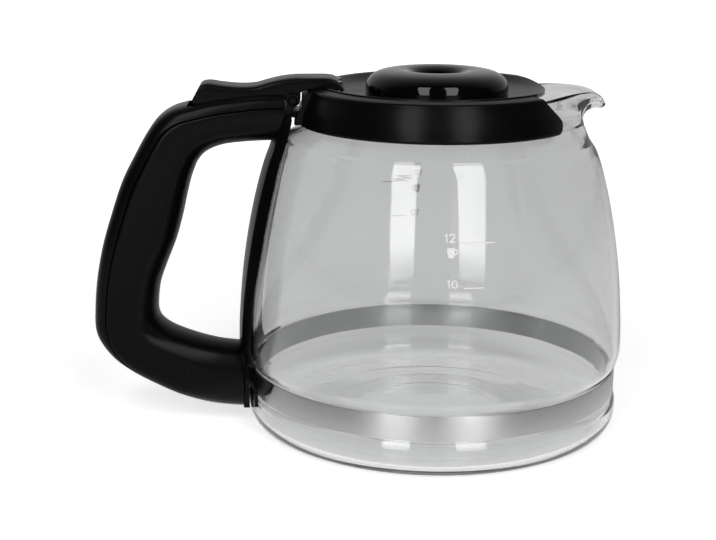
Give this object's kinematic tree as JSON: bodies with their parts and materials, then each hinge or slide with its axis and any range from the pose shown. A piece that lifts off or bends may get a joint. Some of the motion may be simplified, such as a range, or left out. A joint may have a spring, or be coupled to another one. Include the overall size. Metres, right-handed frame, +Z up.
{
  "type": "coffee server carafe",
  "caption": "Glass coffee jug with a pouring lip, a steel band, a black collar and closed handle, and a hinged drip-through lid lifted by a thumb lever.",
  "frame": {"origin": "centre of the glass base, on the face that the jug stands on", "axes": "+X towards the tip of the pouring lip, -X towards the handle, +Y to the side, +Z up along the axis of the glass"},
  "size_m": [0.218, 0.156, 0.1458],
  "materials": {
    "clear_glass": "clear blown glass",
    "brushed_band": "fine brushed stainless steel",
    "screw_steel": "plain bright steel",
    "black_satin": "black moulded plastic, satin",
    "black_gloss": "black moulded plastic, polished"
  },
  "bodies": {
    "jug": {"glass_vessel": "clear_glass", "steel_band": "brushed_band", "band_screw": "screw_steel", "band_nut": "screw_steel", "handle_spine": "black_satin", "handle_body": "black_satin", "handle_cover": "black_satin", "grip_screws": "screw_steel", "neck_collar": "black_satin", "hinge_pin": "black_satin"},
    "lid": {"thumb_lever": "black_satin", "lever_screws": "screw_steel", "lid_plate": "black_satin", "lid_dome": "black_gloss", "lid_baffle": "black_satin"}
  },
  "joints": [
    {"name": "lid_hinge", "type": "hinge", "parent": "jug", "child": "lid", "pos_m": [-0.0579, 0, 0.1346], "axis": [0, -1, 0], "range_deg": [0, 20]}
  ]
}
